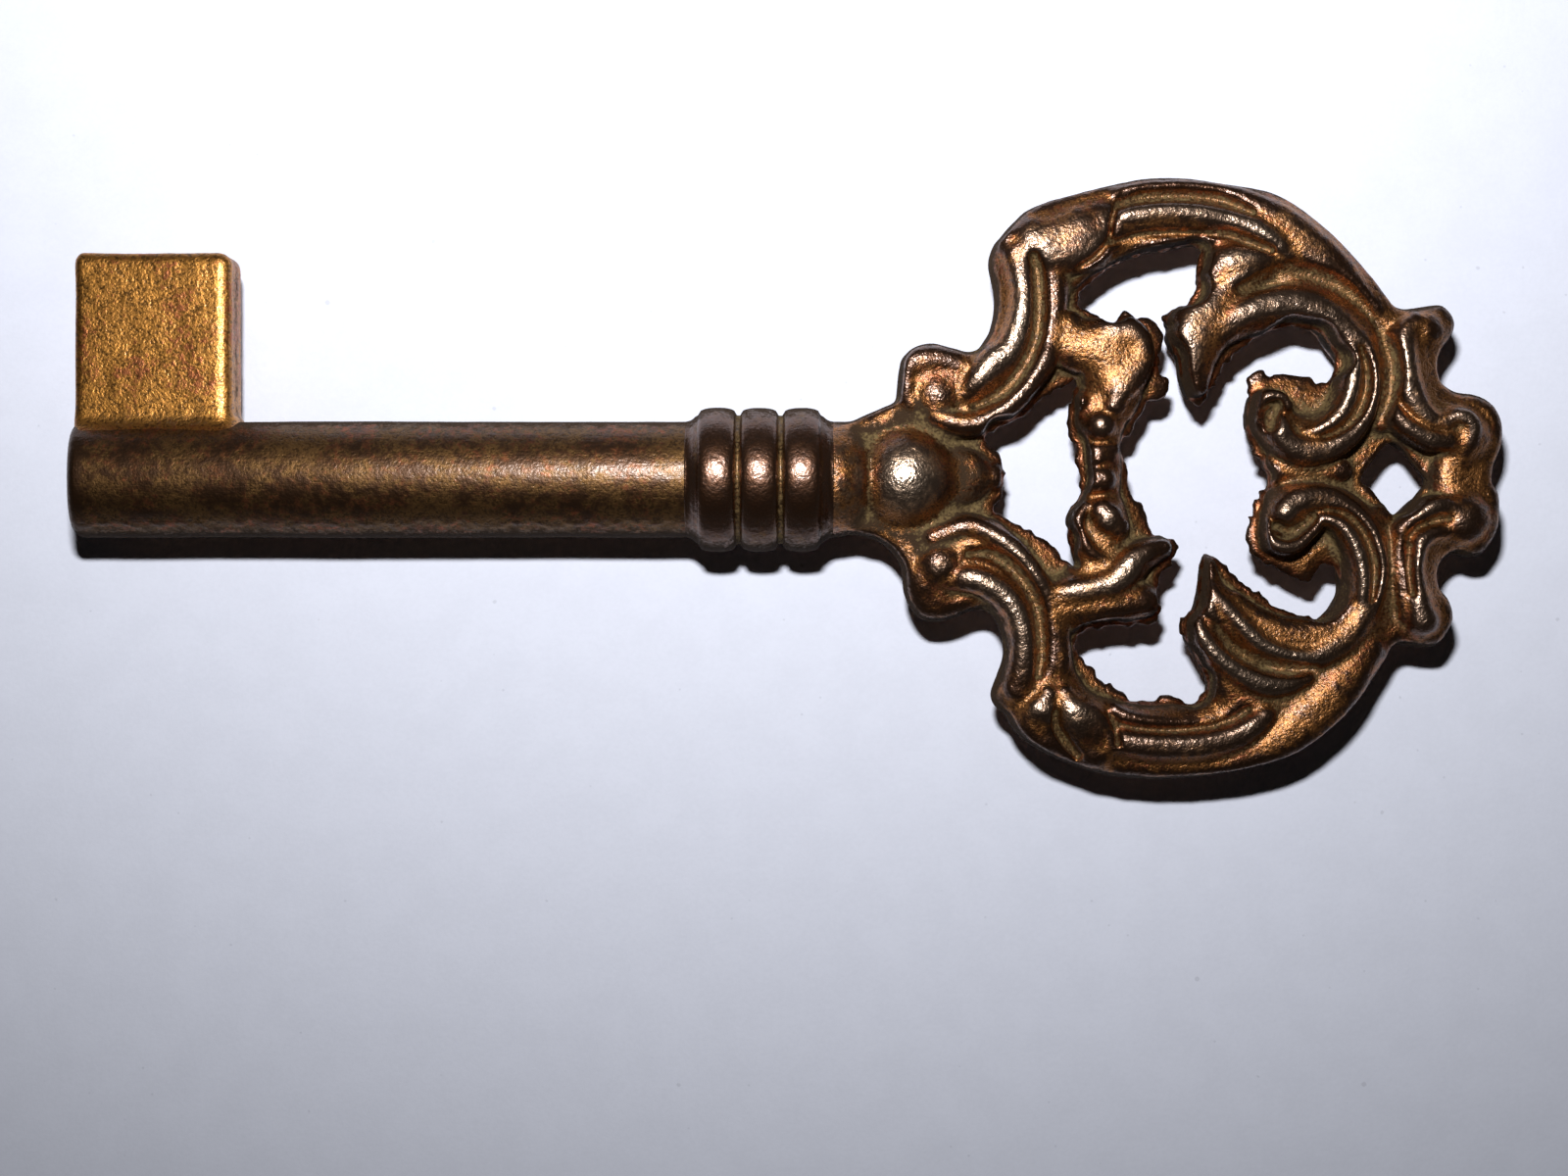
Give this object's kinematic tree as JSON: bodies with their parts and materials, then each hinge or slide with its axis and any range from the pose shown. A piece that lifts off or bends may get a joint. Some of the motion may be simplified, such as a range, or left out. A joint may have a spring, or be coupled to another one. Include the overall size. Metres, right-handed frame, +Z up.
{
  "type": "skeleton key",
  "caption": "Barrel key with an uncut rectangular bit, a hollow round shank, a beaded collar and a cast openwork bow with scrolls and leaves.",
  "frame": {"origin": "on the surface the key lies on, below the middle of its outline", "axes": "+X along the shank from the bit end to the bow, +Y to the side that the bit stands out on, +Z up, away from the surface"},
  "size_m": [0.078, 0.0328, 0.0079],
  "materials": {
    "barrel": "dark worn patina, lengthwise scratches",
    "bit": "golden brown, fine cast grain",
    "collar": "dark worn patina, turned",
    "collar_pin": "worn",
    "bow": "reddish brown cast patina, olive in the hollows, bright on the crests"
  },
  "bodies": {
    "root": {"barrel": "barrel", "bit": "bit", "collar": "collar", "collar_pin": "collar_pin", "bow": "bow"}
  },
  "joints": []
}
